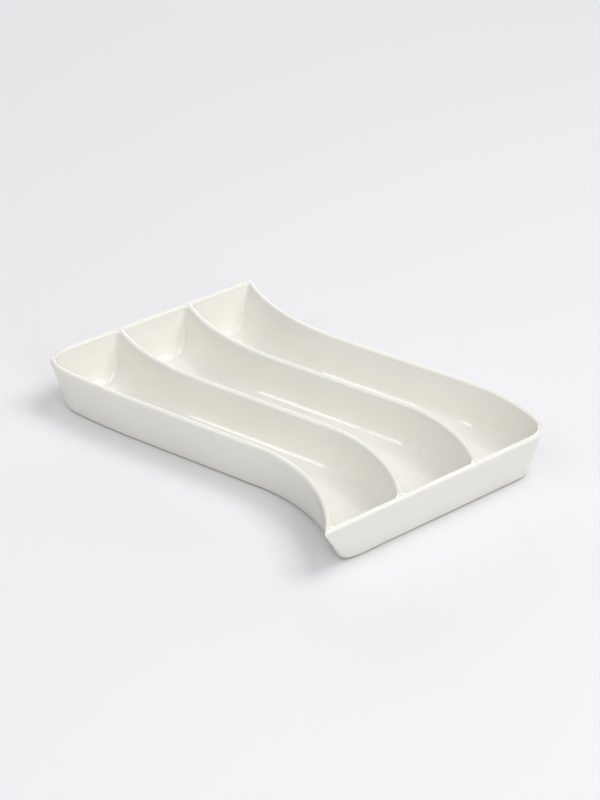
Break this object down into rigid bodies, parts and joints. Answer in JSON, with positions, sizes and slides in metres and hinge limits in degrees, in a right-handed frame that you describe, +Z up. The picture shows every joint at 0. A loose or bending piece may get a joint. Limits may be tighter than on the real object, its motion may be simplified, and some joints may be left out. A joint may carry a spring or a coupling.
{
  "type": "relish tray",
  "caption": "Low glazed ceramic relish tray with straight ends and long S-curved compartments side by side.",
  "frame": {"origin": "middle of the tray's length and width, on the plane of the table that its foot stands on", "axes": "+X along the compartments to the right end, +Y across them to the back, +Z up; the blunt corners are at the front of the left end and the back of the right end"},
  "size_m": [0.299, 0.2094, 0.037],
  "materials": {
    "glaze": "gloss",
    "bare_clay": "matt"
  },
  "bodies": {
    "root": {"foot_ring": "bare_clay", "floor_slab": "glaze", "left_end_wall": "glaze", "left_blunt_corner": "glaze", "right_end_wall": "glaze", "right_blunt_corner": "glaze", "front_side_left_bend": "glaze", "front_side_run": "glaze", "front_side_right_bend": "glaze", "back_side_left_bend": "glaze", "back_side_run": "glaze", "back_side_right_bend": "glaze", "front_divider_left_bend": "glaze", "front_divider_run": "glaze", "front_divider_right_bend": "glaze", "back_divider_left_bend": "glaze", "back_divider_run": "glaze", "back_divider_right_bend": "glaze"}
  },
  "joints": []
}
